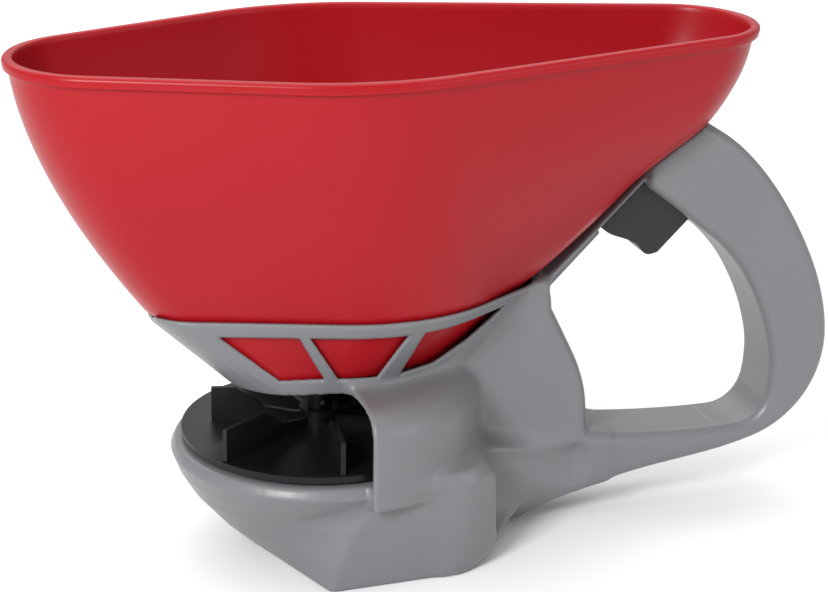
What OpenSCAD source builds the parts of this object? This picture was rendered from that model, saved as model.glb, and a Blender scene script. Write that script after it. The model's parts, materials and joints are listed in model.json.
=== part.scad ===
// Hand-held broadcast spreader: boat-shaped hopper on a two-part body with a loop
// handle, a crank-driven spinner under the hopper and a pull trigger for the gate.
// Millimetres. The origin is on the spinner axis at ground level, +Z is up,
// +X points to the handle and +Y to the side with the crank.

/* [Hopper] */
// Distance from the spinner axis to the front tip of the rim
rim_front = 132; // [120:1:160]
// Distance from the spinner axis to the rear tip of the rim
rim_rear = 200; // [192:1:240]
// Half of the greatest width across the rim
rim_half_w = 75; // [66:1:92]
// Height of the rim above the ground
rim_z = 230; // [224:1:276]
// Thickness of the hopper wall
hopper_wall = 2.4; // [1.6:0.1:3.2]
// Height of the bead rolled round the rim
bead_h = 5; // [3:0.5:8]
// How far the bead stands out from the wall
bead_out = 2.2; // [1:0.1:4]

/* [Body] */
// Wall thickness of the two body halves
wall = 3; // [2:0.1:3.6]
// Half of the thickness of the handle loop
handle_half_t = 18; // [15:0.5:22]
// Radius of the base round the spinner
base_r = 68; // [67:0.5:74]
// Radius of the housing that covers the rear of the spinner
dome_r = 71; // [69:0.5:76]
// Height of the roof of that housing
dome_z = 84; // [80:0.5:90]

/* [Spinner] */
// Radius of the spinner disc
disc_r = 62; // [50:0.5:63]
// Height of the top of the disc
disc_z = 55; // [53:0.5:58]
// Thickness of the disc
disc_t = 3; // [2:0.1:4]
// Number of vanes
vanes = 7; // [4:1:8]
// Height of a vane at its outer end
vane_h = 17; // [10:0.5:20]
// Diameter of the spinner shaft
shaft_d = 5; // [4:0.1:5]

/* [Crank] */
// Height of the crank axis
crank_z = 27; // [26:0.5:28]
// Distance from the crank axis to the knob axis
crank_arm_l = 42; // [30:1:55]
// Diameter of the crank shaft
crank_d = 8; // [6:0.2:10]
// Diameter of the knob
knob_d = 20; // [14:0.5:26]
// Length of the knob
knob_l = 34; // [24:1:45]

/* [Gears] */
// Tooth module
gear_m = 1.2; // [1.2:0.01:1.21]
// Teeth on the spinner's pinion
pinion_teeth = 10; // [10:1:10]
// Teeth on the crank's crown gear
crown_teeth = 30; // [30:1:30]

/* [Gate and trigger] */
// Travel of the trigger and its rod
trigger_travel = 8.5; // [5:0.1:9]
// Half of the width of the trigger
trigger_half_w = 9; // [7:0.5:11]
// Diameter of the control rod
rod_d = 3; // [2:0.1:3.2]
// Thickness of the gate plate
gate_t = 1.8; // [1.2:0.1:2]

/* [Hidden] */
$fn = 48;

// Clearances
run_clear = 0.05;    // radial, shaft in a bush
seat_clear = 0.02;   // radial, pieces pressed or screwed together
slide_clear = 0.3;   // sliding plates and the trigger in its slot
hopper_clear = 0.5;  // between the hopper and the body that holds it
eps = 0.01;

// Colours
red = [0.74, 0.15, 0.18];
gray = [0.53, 0.53, 0.55];
black = [0.12, 0.12, 0.13];
steel = [0.72, 0.73, 0.75];
bronze = [0.72, 0.55, 0.32];
acetal = [0.9, 0.89, 0.85];

// ---- Outline helpers -------------------------------------------------------

// Points along an arc, both ends included
function arc(c, r, a0, a1, n) = [for (i = [0:n]) let (a = a0 + (a1 - a0) * i / n)
    [c[0] + r * cos(a), c[1] + r * sin(a)]];

// Angle at which a circle of radius ra at a, and one of rb at b, share an outer tangent
function tangent_up(a, ra, b, rb) = let (d = b - a) atan2(d[1], d[0]) + acos((ra - rb) / norm(d));
function tangent_down(a, ra, b, rb) = let (d = b - a) atan2(d[1], d[0]) - acos((ra - rb) / norm(d));

// Boat outline: front arc, wide side arc and rear arc with straight tangents between them.
// s = [front, rear, half width, x of the widest place, front radius, side radius, rear radius]
function boat(s) = let (
    front_c = [s[4] - s[0], 0], side_c = [s[3], s[2] - s[5]], rear_c = [s[1] - s[6], 0],
    a_front = tangent_up(front_c, s[4], side_c, s[5]),
    a_rear = tangent_down(rear_c, s[6], side_c, s[5]) + 360,
    upper = concat(arc(front_c, s[4], 180, a_front, 4), arc(side_c, s[5], a_front, a_rear, 6),
        arc(rear_c, s[6], a_rear, 0, 4)),
    n = len(upper))
    concat(upper, [for (i = [n - 2:-1:1]) [upper[i][0], -upper[i][1]]]);

// A boat section made smaller by g all round
function inset(s, g) = [s[0] - g, s[1] - g, s[2] - g, s[3], s[4] - g, s[5] - g, s[6] - g];

// Solid through sections, each [height, outline]. Outlines run clockwise, seen from above.
module loft(sections) {
    n = len(sections[0][1]);
    m = len(sections);
    points = [for (s = sections, p = s[1]) [p[0], p[1], s[0]]];
    sides = [for (j = [0:m - 2], i = [0:n - 1], k = [0, 1])
        let (a = j * n + i, b = j * n + (i + 1) % n, c = a + n, d = b + n)
        k == 0 ? [a, d, c] : [a, b, d]];
    bottom = [for (i = [1:n - 2]) [0, i + 1, i]];
    top = [for (i = [1:n - 2]) [(m - 1) * n, (m - 1) * n + i, (m - 1) * n + i + 1]];
    polyhedron(points, concat(sides, bottom, top));
}

// Catmull-Rom curve through points, n steps to each stretch
function curve_at(a, b, c, d, t) = 0.5 * (2 * b + (c - a) * t + (2 * a - 5 * b + 4 * c - d) * t * t
    + (3 * b - a - 3 * c + d) * t * t * t);
function curve(p, n) = let (m = len(p) - 1) concat(
    [for (i = [0:m - 1], j = [0:n - 1])
        curve_at(p[max(i - 1, 0)], p[i], p[i + 1], p[min(i + 2, m)], j / n)], [p[m]]);

// A drawing in the XZ plane made half_t thick each way in Y
module side_plate(half_t) rotate([90, 0, 0]) linear_extrude(2 * half_t, center = true) children();

// A cylinder along Y, from y0 to y1, through [x, z]
module y_rod(at, r, y0, y1) translate([at[0], y0, at[1]]) rotate([-90, 0, 0]) cylinder(r = r, h = y1 - y0);

// ---- Hopper sizes ----------------------------------------------------------

seat_z = 117;         // height where the hopper leaves the body's ring
floor_z = 88;         // underside of the hopper floor
floor_t = 2.4;
rim_section = [rim_front, rim_rear, rim_half_w, 10, 40, 110, 36];
seat_section = [79, 96, 47, 23, 24, 75, 20];
floor_section = [46, 60, 33, 12, 29, 42, 26];

// Heights of the rear wall and how far back it is, as shares of the way up and out
rear_steps = [[0, 0], [0.09, 0.13], [0.265, 0.34], [0.4, 0.49], [0.505, 0.64], [0.63, 0.82],
    [0.82, 0.95], [1, 1]];
// The front and the sides bulge out low down and stand steeper near the rim
function bulge(u) = 1 - pow(1 - u, 1.65);
function hopper_section(u, rear) = let (s = seat_section, r = rim_section, b = bulge(u))
    [for (i = [0:6]) s[i] + (r[i] - s[i]) * (i == 1 ? rear : b)];

// Sections of the hopper wall from the floor up to the rim, made smaller by g all round
function hopper_sections(g, bottom_z, top_z) = concat([[bottom_z, boat(inset(floor_section, g))]],
    [for (s = rear_steps) let (z = seat_z + (rim_z - seat_z) * s[0])
        [min(z, top_z), boat(inset(hopper_section(s[0], s[1]), g))]]);
function backwards(list) = [for (i = [len(list) - 1:-1:0]) list[i]];

// ---- Gate sizes ------------------------------------------------------------

gate_travel = trigger_travel * sqrt(2);
port_x = [10, 10 + gate_travel];
port_half_w = 11;
gate_half_w = 15;
gate_top = floor_z - slide_clear;
gate_bottom = gate_top - gate_t;
guide_t = 2.2;
guide_top = gate_bottom - slide_clear;
guide_half_w = 19;
guide_x = [-26, 46];
neck_r = 4.2;
floor_screw_at = [for (x = [-14, 38], y = [-1, 1]) [x, y * 20]];
floor_screw_r = 1.5;
lug_t = 2.4;
lug_top = guide_top - guide_t;

// The control rod runs up at 45 degrees, on the line z = x + rod_rise
rod_rise = 7.5;
rod_low_x = 79;
rod_high_x = 160;
function on_rod(x) = [x, x + rod_rise];

// ---- Body sizes ------------------------------------------------------------

ring_bottom_z = 79;
ring_wall = 2.6;
ring_top_section = [82.3, 104, 50.3, 23, 27.3, 78.3, 22];
ring_bottom_section = [41, 64, 33.5, 11, 28, 42, 28];
deck_top = disc_z - disc_t - 1.5;
deck_t = 2;
deck_bottom = deck_top - deck_t;
dome_front_x = 5;
dome_shoulder = 14;
chamber_r = dome_r - wall;
axle_half_y = 5;

// Outside of the arm, the loop and the stem, from under the base round to the hopper
loop_outer = concat([[62, 6]],
    curve([[92, 2], [115, 11], [150, 19], [195, 26], [221, 35], [238, 53], [244, 78], [237, 110],
        [218, 146], [194, 174], [164, 193]], 5),
    [[150, 178], [148, 163], [103, 118], [96, 117], [66, 92], [62, 84]]);
// The hand hole, from the foot of the stem up under the rod strip and round the grip
strip_low = 12;
loop_hole = concat(curve([[124, 42], [123, 60], [119, 75], [112, 90], [105, 104]], 4),
    [[104, 104 + strip_low], [148, 148 + strip_low], [150, 157]],
    curve([[163, 147], [176, 136], [187, 127], [198, 114], [207, 98], [213, 82], [216, 66],
        [214, 48], [205, 38.5], [190, 37], [160, 38], [132, 40.5]], 3));
strip_half_w = 14;
spine_half_w = 4.5;

// Screws through the body halves: [x, z, outer end of the boss on each side]
body_screws = [[-36, 22, 40], [78, 27, 30], [152, 29, handle_half_t], [229, 84, handle_half_t],
    [194, 158, handle_half_t], [96, 60, handle_half_t]];
boss_r = 4.6;
screw_r = 1.5;
head_r = 3;
head_h = 2;
screw_l = 16;
head_y = 8;          // where the screw heads seat, from the parting plane

// One level of the base: a round front and two rear corners
module base_level(z, front, front_r, side, side_r, corner, corner_r, g) {
    translate([0, 0, z]) linear_extrude(0.5) {
        translate([front_r - front, 0]) circle(r = front_r - g, $fn = 36);
        for (y = [-1, 1]) {
            translate([side[0], y * side[1]]) circle(r = side_r - g, $fn = 16);
            translate([corner[0], y * corner[1]]) circle(r = corner_r - g, $fn = 16);
        }
    }
}

module base_block(g) {
    hull() {
        base_level(g, 31, 24, [-2, 53], 5, [52, 48], 10, g);
        base_level(13, 45, 38, [-2, 54], 6, [53, 50], 10, g);
        base_level(28, 59, 53, [2, 56], 7, [54, 54], 9, g);
    }
    hull() {
        base_level(28, 59, 53, [2, 56], 7, [54, 54], 9, g);
        base_level(46, base_r, base_r, [20, 56], 8, [55, 56], 8, g);
        base_level(deck_top - 0.5 - g, base_r - 3, base_r - 3, [20, 54], 7, [54, 54], 8, g);
    }
}

// The housing over the rear half of the spinner, made smaller by g
module dome_block(g) {
    difference() {
        rotate_extrude($fn = 60) polygon(concat([[0, 44]],
            [[dome_r - g, 44]], arc([dome_r - dome_shoulder, dome_z - dome_shoulder],
            dome_shoulder - g, 0, 90, 6), [[0, dome_z - g]]));
        translate([-200 + dome_front_x - g, -100, 0]) cube([200, 200, 200]);
    }
}

// The flanks that draw the base in to the arm
module tail_block(g) {
    hull() {
        for (y = [-1, 1]) {
            translate([54, y * 52, 6 + g]) cylinder(r = 8 - g, h = 38 - 2 * g, $fn = 16);
            translate([84, y * 26, 4 + g]) cylinder(r = 6 - g, h = 42 - 2 * g, $fn = 16);
        }
    }
    hull() {
        for (y = [-1, 1]) {
            translate([84, y * 26, 4 + g]) cylinder(r = 6 - g, h = 42 - 2 * g, $fn = 16);
            translate([116, y * (handle_half_t - 4), 14 + g]) cylinder(r = 4 - g, h = 27 - 2 * g, $fn = 16);
        }
    }
}

module loop_profile() {
    difference() {
        polygon(loop_outer);
        polygon(loop_hole);
    }
}

module ring_block(g) {
    loft([[ring_bottom_z - (g > 0 ? 1 : 0), boat(inset(ring_bottom_section, g))],
        [seat_z + 0.5 + (g > 0 ? 1 : 0), boat(inset(ring_top_section, g))]]);
}

// The strip that carries the control rod up under the hopper
module rod_spine() {
    side_plate(spine_half_w) polygon([[96, 96 + 3], [148, 148 + 3.5], [148, 148 + strip_low], [96, 96 + strip_low]]);
}

window_low = 89;
window_high = 110;
windows = [
    [[-52, window_high], [-23, window_high], [-9, window_low], [-22, window_low]],
    [[-14, window_high], [27, window_high], [16, window_low], [-1, window_low]],
    [[35, window_high], [78, window_high + 1], [60, 98], [44, window_low + 1], [27, window_low]]];

module ring_windows() {
    for (w = windows, side = [-1, 1])
        translate([0, side * 43, 0]) side_plate(38) polygon(w);
}

// Room inside the body
module body_room() {
    translate([-4, 0, 6]) cylinder(r1 = 26, r2 = 48, h = 22);
    translate([-4, 0, 28 - eps]) cylinder(r1 = 48, r2 = 59, h = deck_bottom - 28);
    translate([0, 0, 8]) linear_extrude(deck_bottom - 8)
        polygon([[0, -30], [44, -44], [56, -44], [84, -22], [84, 22], [56, 44], [44, 44], [0, 30]]);
    translate([0, 0, 17]) linear_extrude(21) polygon([[80, -23], [112, -13], [112, 13], [80, 23]]);
    side_plate(handle_half_t - wall) offset(delta = -wall) difference() {
        loop_profile();
        translate([-10, -10]) square([dome_r + 13, 200]);
        polygon([[96, 125], [96, 100], [152, 150], [152, 190]]);
    }
}

// The room the spinner turns in, open to the front
module spinner_room() {
    translate([0, 0, deck_top]) cylinder(r = base_r - wall - 0.5, h = 4, $fn = 96);
    dome_block(wall);
    translate([-120, -100, deck_top + 2]) cube([120 + dome_front_x - wall, 200, ring_bottom_z - deck_top - 2]);
}

// Room for the gate, its tail, the rod and the spring, and the chute under the port
module gate_room() {
    translate([port_x[0] - 1, -port_half_w - 1, 70]) cube([gate_travel + 2, 2 * port_half_w + 2, 20]);
    translate([-30, -guide_half_w - slide_clear, lug_top]) cube([80, 2 * (guide_half_w + slide_clear), 6]);
    translate([40, -7, gate_bottom - 1]) cube([45, 14, gate_t + 3.5]);
    translate([66, -7, 76]) cube([42, 14, 23]);
    rod_line(spring_r + slide_clear, 86, 104);
}

// A cylinder along the rod's line between two places given by x
module rod_line(r, x0, x1) {
    translate([x0, 0, x0 + rod_rise]) rotate([0, 45, 0]) cylinder(r = r, h = (x1 - x0) * sqrt(2));
}

spring_r = 4;
module trigger_room() {
    side_plate(trigger_half_w + slide_clear)
        polygon([for (p = trigger_slot_outline) on_slide(p[0], p[1])]);
}

// A point a along the trigger's slide and b across it, towards the grip
function on_slide(a, b) = [(a + b) / sqrt(2), (a - b) / sqrt(2)];
trigger_face = [[190, -8], [190.5, -1], [195, 9], [196, 19], [198, 23.5], [200, 25]];
trigger_top = 231;
trigger_slot_outline = [[188, -8.3], [188, 25.3], [trigger_top + trigger_travel + 1, 25.3],
    [trigger_top + trigger_travel + 1, -8.3]];

module lugs() {
    for (p = floor_screw_at) {
        translate([p[0], p[1], lug_top - lug_t]) cylinder(r = 4.5, h = lug_t);
        translate([p[0] - 4.5, p[1] > 0 ? p[1] : -40, lug_top - lug_t]) cube([9, 40 - abs(p[1]), lug_t]);
    }
}

// Everything of the body but its bores, kept to one side of the parting plane.
// The resize keeps every size: it only joins the many curved pieces into one faceted solid.
module shell(side) {
    $fn = 40;
    resize([0, 0, 0]) difference() {
        union() {
            difference() {
                union() {
                    base_block(0);
                    dome_block(0);
                    tail_block(0);
                    side_plate(handle_half_t) loop_profile();
                    ring_block(0);
                    rod_spine();
                }
                body_room();
                spinner_room();
                ring_block(ring_wall);
            }
            intersection() {
                lugs();
                ring_block(1);
            }
            bosses();
            bush_seats();
        }
        loft(hopper_sections(-hopper_clear, floor_z - hopper_clear, rim_z));
        gate_room();
        trigger_room();
        ring_windows();
        strip_sides();
        crown_room();
        translate([-200, side > 0 ? -200 : 0, -50]) cube([600, 200, 400]);
    }
}

module body_bores() {
    rod_line(rod_d / 2 + run_clear, 96, 156);
    bush_bores();
    screw_holes();
}

// The strip is narrower than the grip
module strip_sides() {
    for (side = [-1, 1]) translate([0, side * (strip_half_w + 10), 0]) side_plate(10)
        polygon([[105, 112], [148, 155], [148, 175], [120, 145], [105, 122]]);
}

module bosses() {
    for (b = body_screws) y_rod(b, boss_r, -b[2] + 1, b[2] - 1);
}

module screw_holes() {
    for (b = body_screws) {
        y_rod(b, screw_r + seat_clear, head_y - screw_l, head_y + 1);
        y_rod(b, head_r + slide_clear, head_y, b[2] + 20);
    }
    for (p = floor_screw_at)
        translate([p[0], p[1], 60]) cylinder(r = floor_screw_r + slide_clear, h = 60);
}

// ---- Drive sizes -----------------------------------------------------------

bush_r = 3.8;
bush_low_z = wall;
bush_top_z = 11;
pinion_r = gear_m * pinion_teeth / 2;
crown_r = gear_m * crown_teeth / 2;
tooth_up = 0.8 * gear_m;     // tooth height above the pitch line
tooth_down = 1.05 * gear_m;  // and below it
tooth_base_t = 0.48 * gear_m * PI;
tooth_pitch_t = 0.38 * gear_m * PI;
tooth_tip_t = 0.2 * gear_m * PI;
face_half = 1.6;             // half of the crown's tooth length
crown_out = crown_r + face_half + 0.6;
pinion_z = crank_z + crown_r;
crown_root_y = pinion_r + tooth_down;
crown_back_y = crown_root_y + 3;
crown_hub_y = crown_back_y + 6;
inner_rib_y = [crown_hub_y + 1, crown_hub_y + 6];
outer_seat_y = [52, dome_r + slide_clear];
arm_y = [outer_seat_y[1] + 1.5, outer_seat_y[1] + 8.5];
washer_y = [outer_seat_y[1], outer_seat_y[1] + 1.5 - slide_clear];
crank_bush_r = crank_d / 2 + 2;
knob_pin_r = 3;
knob_y = [arm_y[1] + 1, arm_y[1] + 1 + knob_l];

module bush_seats() {
    translate([0, 0, wall - 0.5]) intersection() {
        cylinder(r = bush_r + 2.5, h = bush_top_z - wall);
        translate([-20, -20, 0]) cube([40, 20 + pinion_r - tooth_up - 0.5, 20]);
    }
    intersection() {
        base_block(1);
        union() {
            translate([-16, inner_rib_y[0], 2]) cube([32, inner_rib_y[1] - inner_rib_y[0], deck_bottom - 1]);
            y_rod([0, crank_z], crank_bush_r + 3, outer_seat_y[0], outer_seat_y[1] + 2);
        }
    }
    y_rod([0, crank_z], crank_bush_r + 3, outer_seat_y[0] + 4, outer_seat_y[1]);
}

module bush_bores() {
    translate([0, 0, bush_low_z]) cylinder(r = bush_r, h = bush_top_z);
    translate([0, 0, 20]) cylinder(r = shaft_d / 2 + 1, h = 40);
    y_rod([0, crank_z], crank_bush_r, inner_rib_y[0] - 1, inner_rib_y[1] + 1);
    y_rod([0, crank_z], crank_bush_r, outer_seat_y[0] - 12, outer_seat_y[1] + 2);
}

module crown_room() {
    y_rod([0, crank_z], crown_out + 1, pinion_r - tooth_up - 0.5, crown_hub_y + 0.5);
}

// ---- Root pieces -----------------------------------------------------------

module hopper() {
    outside = hopper_sections(0, floor_z, rim_z - bead_h);
    bead = [for (p = [[rim_z - bead_h + 1.2, bead_out], [rim_z - 1.2, bead_out], [rim_z, bead_out / 2]])
        [p[0], boat(inset(rim_section, -p[1]))]];
    inside = backwards(hopper_sections(hopper_wall, floor_z + floor_t, rim_z));
    color(red) difference() {
        loft(concat(outside, bead, inside));
        translate([port_x[0], -port_half_w, floor_z - 1]) cube([gate_travel, 2 * port_half_w, floor_t + 2]);
        translate([0, 0, floor_z - 1]) cylinder(r = neck_r, h = floor_t + 2);
        for (p = floor_screw_at) translate([p[0], p[1], floor_z - 1]) cylinder(r = floor_screw_r, h = floor_t + 2);
    }
}

module housing_left() {
    color(gray) difference() {
        shell(-1);
        body_bores();
    }
}

module housing_right() {
    color(gray) difference() {
        shell(1);
        body_bores();
    }
}

module pan_screw(r, head, l, drop) {
    difference() {
        union() {
            translate([0, 0, -l]) cylinder(r = r, h = l);
            cylinder(r = head, h = drop);
        }
        for (a = [0, 90]) rotate(a) translate([-head * 0.6, -0.4, drop - 0.9]) cube([head * 1.2, 0.8, 2]);
    }
}

module housing_screws() {
    color(steel) for (b = body_screws)
        translate([b[0], head_y, b[1]]) rotate([-90, 0, 0]) pan_screw(screw_r, head_r, screw_l, head_h);
}

module hopper_screws() {
    color(steel) for (p = floor_screw_at)
        translate([p[0], p[1], lug_top - lug_t]) rotate([180, 0, 0])
            pan_screw(floor_screw_r - seat_clear, head_r, floor_z + floor_t - lug_top + lug_t, head_h);
}

module gate_guide() {
    color(black) difference() {
        union() {
            translate([guide_x[0], -guide_half_w, lug_top]) cube([guide_x[1] - guide_x[0], 2 * guide_half_w, guide_t]);
            for (side = [-1, 1]) translate([guide_x[0], side * (guide_half_w - 1.75) - 1.75, lug_top])
                cube([guide_x[1] - guide_x[0], 3.5, floor_z - lug_top]);
            for (p = floor_screw_at) translate([p[0], p[1], lug_top]) cylinder(r = 4, h = floor_z - lug_top);
        }
        translate([port_x[0] - 1, -port_half_w - 1, lug_top - 1]) cube([gate_travel + 2, 2 * port_half_w + 2, 5]);
        translate([0, 0, lug_top - 1]) cylinder(r = neck_r + 0.6, h = 10);
        for (p = floor_screw_at) translate([p[0], p[1], lug_top - 1]) cylinder(r = floor_screw_r, h = 20);
    }
}

module bush(r_out, r_in, l, flange_r, flange_t) {
    difference() {
        union() {
            cylinder(r = r_out, h = l);
            cylinder(r = flange_r, h = flange_t);
        }
        translate([0, 0, -1]) cylinder(r = r_in, h = l + 2);
    }
}

module upper_shaft_bush() {
    color(acetal) translate([0, 0, floor_z + floor_t + 1.2]) rotate([180, 0, 0])
        bush(neck_r - seat_clear, shaft_d / 2 + run_clear, floor_t + 1.2, neck_r + 2, 1.2);
}

module lower_shaft_bush() {
    color(bronze) difference() {
        translate([0, 0, bush_low_z]) cylinder(r = bush_r - seat_clear, h = bush_top_z - bush_low_z - 1);
        translate([0, 0, bush_low_z + 1]) cylinder(r = shaft_d / 2 + run_clear, h = 20);
    }
}

module inner_crank_bush() {
    color(acetal) translate([0, inner_rib_y[0], crank_z]) rotate([-90, 0, 0])
        bush(crank_bush_r - seat_clear, crank_d / 2 + run_clear, inner_rib_y[1] - inner_rib_y[0], crank_bush_r - seat_clear, 1);
}

module outer_crank_bush() {
    color(acetal) translate([0, outer_seat_y[0], crank_z]) rotate([-90, 0, 0])
        bush(crank_bush_r - seat_clear, crank_d / 2 + run_clear, outer_seat_y[1] - outer_seat_y[0], crank_bush_r - seat_clear, 1);
}

// ---- Spinner pieces --------------------------------------------------------

hub_r = 9;
hub_top = disc_z + 8;
hub_neck_r = 5.5;
hub_neck_top = disc_z + 15;
vane_t = 2.2;
vane_start = 213;                          // direction of the first vane, in degrees
vane_reach = [1, 1, 0.8, 1, 0.8, 1, 0.8];  // how far out each vane goes, as a share of the disc
shaft_top = 112;
pin_r = 1;
pin_z = disc_z + 11;

// A straight vane from the hub out to a radius
module vane(reach) translate([hub_r - 2, -vane_t / 2, 0]) cube([reach - 1 - hub_r + 2, vane_t, vane_h]);

module impeller() {
    color(black) difference() {
        union() {
            translate([0, 0, disc_z - disc_t]) cylinder(r = disc_r, h = disc_t, $fn = 96);
            translate([0, 0, disc_z - eps]) cylinder(r = hub_r, h = hub_top - disc_z);
            translate([0, 0, disc_z - eps]) cylinder(r = hub_neck_r, h = hub_neck_top - disc_z);
            intersection() {
                for (i = [0:vanes - 1]) rotate(vane_start + i * 360 / vanes) translate([0, 0, disc_z - eps])
                    vane(disc_r * vane_reach[i % len(vane_reach)]);
                translate([0, 0, disc_z - 1]) rotate_extrude($fn = 96)
                    polygon([[0, 0], [disc_r, 0], [disc_r, vane_h - 1], [38, vane_h], [31, 13], [25, 8], [12, 6], [0, 6]]);
            }
        }
        cylinder(r = shaft_d / 2 + seat_clear, h = 100);
        y_rod([0, pin_z], pin_r + seat_clear, -20, 20);
    }
}

module impeller_shaft() {
    color(steel) difference() {
        translate([0, 0, bush_low_z + 1]) cylinder(r = shaft_d / 2, h = shaft_top - bush_low_z - 1);
        y_rod([0, pin_z], pin_r, -20, 20);
        translate([0, 0, clip_z]) difference() {
            cylinder(r = 5, h = clip_t);
            cylinder(r = shaft_d / 2 - 0.7, h = clip_t);
        }
    }
}

clip_z = 13;
clip_t = 0.8;

module shaft_clip() {
    color(steel) translate([0, 0, clip_z]) difference() {
        cylinder(r = shaft_d / 2 + 1.6, h = clip_t);
        translate([0, 0, -1]) cylinder(r = shaft_d / 2 - 0.7, h = 3);
        translate([-1.5, -10, -1]) cube([3, 10, 3]);
    }
}

module impeller_pin() {
    color(steel) y_rod([0, pin_z], pin_r - seat_clear, -hub_neck_r + 0.3, hub_neck_r - 0.3);
}

// One tooth outline pointing along +Y from the root line
module tooth_outline() {
    polygon([[-tooth_base_t / 2, -0.3], [-tooth_base_t / 2, 0], [-tooth_pitch_t / 2, tooth_down],
        [-tooth_tip_t / 2, tooth_down + tooth_up], [tooth_tip_t / 2, tooth_down + tooth_up],
        [tooth_pitch_t / 2, tooth_down], [tooth_base_t / 2, 0], [tooth_base_t / 2, -0.3]]);
}

module pinion_gear() {
    color(acetal) difference() {
        union() {
            translate([0, 0, pinion_z - 2.5]) linear_extrude(5) {
                circle(r = pinion_r - tooth_down);
                for (i = [0:pinion_teeth - 1]) rotate(i * 360 / pinion_teeth)
                    translate([0, pinion_r - tooth_down]) tooth_outline();
            }
            translate([0, 0, pinion_z - 8]) cylinder(r = pinion_r - tooth_down - 0.2, h = 6);
        }
        cylinder(r = shaft_d / 2 + seat_clear, h = 100);
    }
}

// Two paddles that keep the seed moving over the port
module agitator() {
    color(black) difference() {
        union() {
            translate([0, 0, floor_z + floor_t + 1.7]) cylinder(r = 6, h = 14);
            for (a = [0, 180]) rotate(a + 40) translate([0, -1.5, floor_z + floor_t + 2.2]) cube([22, 3, 5]);
            for (a = [0, 180]) rotate(a + 40) translate([18, -1.5, floor_z + floor_t + 2.2]) cube([4, 3, 16]);
        }
        cylinder(r = shaft_d / 2 + seat_clear, h = shaft_top + 0.02);
    }
}

// ---- Crank pieces ----------------------------------------------------------

module crown_gear() {
    color(acetal) difference() {
        union() {
            y_rod([0, crank_z], crown_out, crown_root_y, crown_back_y);
            y_rod([0, crank_z], crank_d / 2 + 3, crown_back_y - eps, crown_hub_y);
            for (i = [0:crown_teeth - 1]) translate([0, 0, crank_z]) rotate([0, (i + 0.5) * 360 / crown_teeth, 0])
                translate([0, crown_root_y, crown_r - face_half]) rotate([0, 0, 180])
                    linear_extrude(2 * face_half) tooth_outline();
        }
        y_rod([0, crank_z], crank_d / 2 + seat_clear, crown_root_y + 1.2, 40);
    }
}

module crank_shaft() {
    color(steel) difference() {
        y_rod([0, crank_z], crank_d / 2, crown_root_y + 1.2, arm_y[1] - 2);
        y_rod([0, crank_z], 1.5, arm_y[1] - 16, arm_y[1]);
    }
}

module crank_washer() {
    color(steel) difference() {
        y_rod([0, crank_z], crank_d / 2 + 5, washer_y[0] + 0.1, washer_y[1]);
        y_rod([0, crank_z], crank_d / 2 + seat_clear, washer_y[0] - 1, washer_y[1] + 1);
    }
}

module crank_arm() {
    color(black) difference() {
        union() {
            y_rod([0, crank_z], crank_d / 2 + 5, arm_y[0], arm_y[1]);
            y_rod([crank_arm_l, crank_z], knob_pin_r + 4, arm_y[0] + 1, arm_y[1]);
            translate([0, arm_y[0] + 1, crank_z - 5]) cube([crank_arm_l, arm_y[1] - arm_y[0] - 1, 10]);
        }
        y_rod([0, crank_z], crank_d / 2 + seat_clear, arm_y[0] - 1, arm_y[1] - 2);
        y_rod([0, crank_z], 1.5 + seat_clear, arm_y[0], arm_y[1] + 1);
        y_rod([crank_arm_l, crank_z], knob_pin_r + seat_clear, arm_y[0], arm_y[1] + 1);
    }
}

module crank_screw() {
    color(steel) translate([0, arm_y[1], crank_z]) rotate([-90, 0, 0]) pan_screw(1.5 - seat_clear, head_r, 14, head_h);
}

module knob_pin() {
    color(steel) union() {
        y_rod([crank_arm_l, crank_z], knob_pin_r, arm_y[0] + 1, knob_y[1] - 5);
        y_rod([crank_arm_l, crank_z], knob_pin_r + 1.5, knob_y[1] - 5, knob_y[1] - 3.5);
    }
}

module crank_knob() {
    color(black) difference() {
        translate([crank_arm_l, knob_y[0], crank_z]) rotate([-90, 0, 0]) rotate_extrude($fn = 64)
            polygon(concat([[0, 0], [knob_d / 2 - 3, 0]], curve([[knob_d / 2 - 2, 1], [knob_d / 2 - 2.5, knob_l * 0.3],
                [knob_d / 2, knob_l * 0.75], [knob_d / 2 - 1.5, knob_l - 1.5]], 4), [[knob_d / 2 - 3.5, knob_l], [0, knob_l]]));
        y_rod([crank_arm_l, crank_z], knob_pin_r + run_clear, knob_y[0] - 1, knob_y[1] - 5);
        y_rod([crank_arm_l, crank_z], knob_pin_r + 1.5 + slide_clear, knob_y[1] - 5 - slide_clear, knob_y[1] + 1);
    }
}

module knob_cap() {
    color(black) y_rod([crank_arm_l, crank_z], knob_pin_r + 1.5 + slide_clear - seat_clear, knob_y[1] - 2, knob_y[1]);
}

// ---- Trigger and gate pieces -----------------------------------------------

module trigger() {
    color([0.22, 0.23, 0.25]) difference() {
        side_plate(trigger_half_w) polygon([for (p = concat(trigger_face, [[trigger_top, 25], [trigger_top, -8]]))
            on_slide(p[0], p[1])]);
        side_plate(spine_half_w + slide_clear) polygon([for (p = [[180, -9], [180, -2.2], [214.5, -2.2], [214.5, -9]])
            on_slide(p[0], p[1])]);
        for (side = [-1, 1]) translate([0, side * (trigger_half_w + spine_half_w) / 2, 0]) side_plate(1)
            polygon([for (p = [[201, 2], [202, 20], [trigger_top + 1, 20], [trigger_top + 1, 2]]) on_slide(p[0], p[1])]);
        rod_line(rod_d / 2 + seat_clear, 146, rod_high_x + 2);
        y_rod(on_rod(158), 1 + seat_clear, -20, 20);
    }
}

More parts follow.
